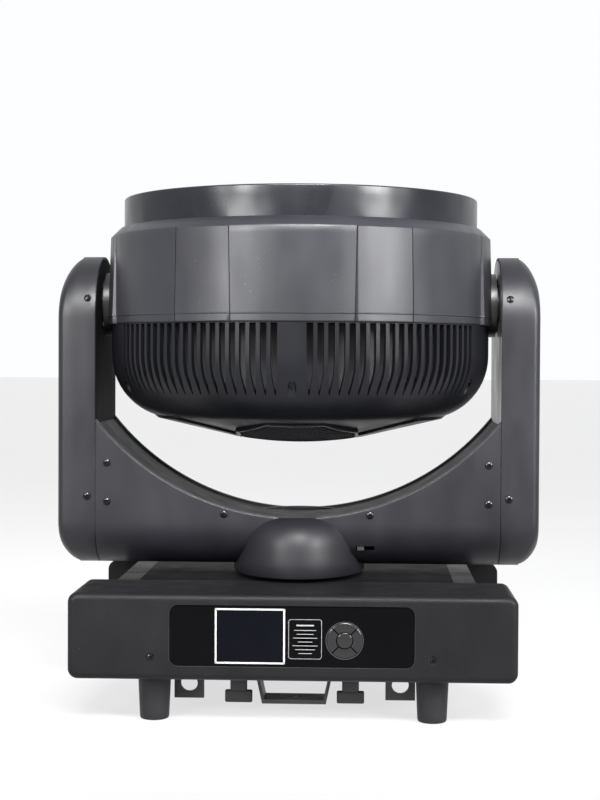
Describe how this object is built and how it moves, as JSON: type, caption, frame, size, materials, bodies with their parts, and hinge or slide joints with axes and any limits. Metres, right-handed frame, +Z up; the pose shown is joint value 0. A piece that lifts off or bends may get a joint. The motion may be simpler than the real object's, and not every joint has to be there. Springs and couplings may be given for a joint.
{
  "type": "moving head light",
  "caption": "Round wash light head that tilts in a U-shaped yoke, which pans on a rectangular base with a control panel, rigging brackets and feet.",
  "frame": {"origin": "on the ground, under the pan axis, at the centre of the four feet", "axes": "+X to the right seen from the control panel, +Y away from the control panel, +Z up along the pan axis"},
  "size_m": [0.4666, 0.3768, 0.4904],
  "materials": {
    "shell": "fine moulded texture, satin",
    "hood": "smooth, semi-gloss",
    "panel": "glossy",
    "screen": "glossy, unlit",
    "button": "satin",
    "powder": "black powder coat",
    "steel": "zinc plated",
    "screw": "black oxide",
    "rubber": "matt",
    "belt": "toothed belt, matt",
    "aluminium": "satin",
    "glass": "clear, polished",
    "lens": "clear acrylic",
    "board": "solder mask",
    "motor": "black can",
    "nylon": "satin nylon"
  },
  "bodies": {
    "base": {"base_chassis": "powder", "deck_cover": "powder", "side_panel_left": "shell", "side_panel_right": "shell", "front_bezel": "shell", "rear_bezel": "shell", "control_panel": "panel", "display_module": "screen", "power_supply": "steel", "pan_hub": "steel", "pan_bearing": "steel", "pan_pulley": "aluminium", "rubber_feet": "rubber", "bezel_screws": "screw", "power_sockets": "nylon", "data_sockets": "nylon", "omega_brackets": "powder", "safety_eyes": "powder"},
    "yoke": {"yoke_frame": "steel", "crossbeam_cover_front": "shell", "crossbeam_cover_rear": "shell", "arc_cover": "powder", "arm_cover_left": "shell", "arm_cover_right": "shell", "arm_plate_left": "powder", "arm_plate_right": "powder", "pan_dome": "shell", "pan_motor": "motor", "pan_belt": "belt", "tilt_motor": "motor", "tilt_belt": "belt", "tilt_bearings": "steel", "yoke_screws": "screw"},
    "head": {"hood": "hood", "head_shell": "shell", "vent_basket": "shell", "rear_grille": "shell", "front_glass": "glass", "led_board": "board", "heat_sink": "aluminium", "trunnions": "aluminium", "tilt_pulley": "aluminium", "zoom_motors": "motor", "fan_frame": "nylon", "head_screws": "screw"},
    "zoom_carriage": {"zoom_frame": "aluminium", "lens_array": "lens"},
    "fan": {"fan_rotor": "nylon"},
    "pan_motor_shaft": {"pan_motor_pulley": "aluminium"},
    "tilt_motor_shaft": {"tilt_motor_pulley": "aluminium"},
    "pan_lock_slider": {"pan_lock": "nylon"},
    "up_key": {"button_up": "button"},
    "down_key": {"button_down": "button"},
    "left_key": {"button_left": "button"},
    "right_key": {"button_right": "button"},
    "enter_key": {"button_enter": "button"},
    "lock_front_left": {"quick_lock_front_left": "nylon"},
    "lock_front_right": {"quick_lock_front_right": "nylon"},
    "lock_rear_left": {"quick_lock_rear_left": "nylon"},
    "lock_rear_right": {"quick_lock_rear_right": "nylon"}
  },
  "joints": [
    {"name": "pan", "type": "hinge", "parent": "base", "child": "yoke", "pos_m": [0, 0, 0.14], "axis": [0, 0, 1], "range_deg": [-270, 270]},
    {"name": "tilt", "type": "hinge", "parent": "yoke", "child": "head", "pos_m": [0, 0, 0.388], "axis": [1, 0, 0], "range_deg": [-135, 135]},
    {"name": "zoom", "type": "slide", "parent": "head", "child": "zoom_carriage", "axis": [0, 0, 1], "range_m": [0, 0.022]},
    {"name": "fan_spin", "type": "hinge", "parent": "head", "child": "fan", "pos_m": [0, 0, 0.315], "axis": [0, 0, 1], "continuous": true},
    {"name": "pan_motor_spin", "type": "hinge", "parent": "yoke", "child": "pan_motor_shaft", "pos_m": [0.14, 0, 0.155], "axis": [0, 0, 1], "range_deg": [-1261, 1261]},
    {"name": "tilt_motor_spin", "type": "hinge", "parent": "yoke", "child": "tilt_motor_shaft", "pos_m": [-0.216, 0, 0.18], "axis": [1, 0, 0], "range_deg": [-601, 601]},
    {"name": "pan_lock_slide", "type": "slide", "parent": "yoke", "child": "pan_lock_slider", "axis": [1, 0, 0], "range_m": [0, 0.008]},
    {"name": "up_press", "type": "slide", "parent": "base", "child": "up_key", "axis": [0, 1, 0], "range_m": [0, 0.0008], "stiffness_N_per_m": 400},
    {"name": "down_press", "type": "slide", "parent": "base", "child": "down_key", "axis": [0, 1, 0], "range_m": [0, 0.0008], "stiffness_N_per_m": 400},
    {"name": "left_press", "type": "slide", "parent": "base", "child": "left_key", "axis": [0, 1, 0], "range_m": [0, 0.0008], "stiffness_N_per_m": 400},
    {"name": "right_press", "type": "slide", "parent": "base", "child": "right_key", "axis": [0, 1, 0], "range_m": [0, 0.0008], "stiffness_N_per_m": 400},
    {"name": "enter_press", "type": "slide", "parent": "base", "child": "enter_key", "axis": [0, 1, 0], "range_m": [0, 0.0008], "stiffness_N_per_m": 400},
    {"name": "lock_front_left_turn", "type": "hinge", "parent": "base", "child": "lock_front_left", "pos_m": [-0.053, -0.095, 0.035], "axis": [0, 0, 1], "range_deg": [0, 90]},
    {"name": "lock_front_right_turn", "type": "hinge", "parent": "base", "child": "lock_front_right", "pos_m": [0.053, -0.095, 0.035], "axis": [0, 0, 1], "range_deg": [0, 90]},
    {"name": "lock_rear_left_turn", "type": "hinge", "parent": "base", "child": "lock_rear_left", "pos_m": [-0.053, 0.095, 0.035], "axis": [0, 0, 1], "range_deg": [0, 90]},
    {"name": "lock_rear_right_turn", "type": "hinge", "parent": "base", "child": "lock_rear_right", "pos_m": [0.053, 0.095, 0.035], "axis": [0, 0, 1], "range_deg": [0, 90]}
  ],
  "couplings": [
    {"joint": "pan_motor_spin", "follows": "pan", "ratio": -4.6667},
    {"joint": "tilt_motor_spin", "follows": "tilt", "ratio": 4.4444}
  ]
}
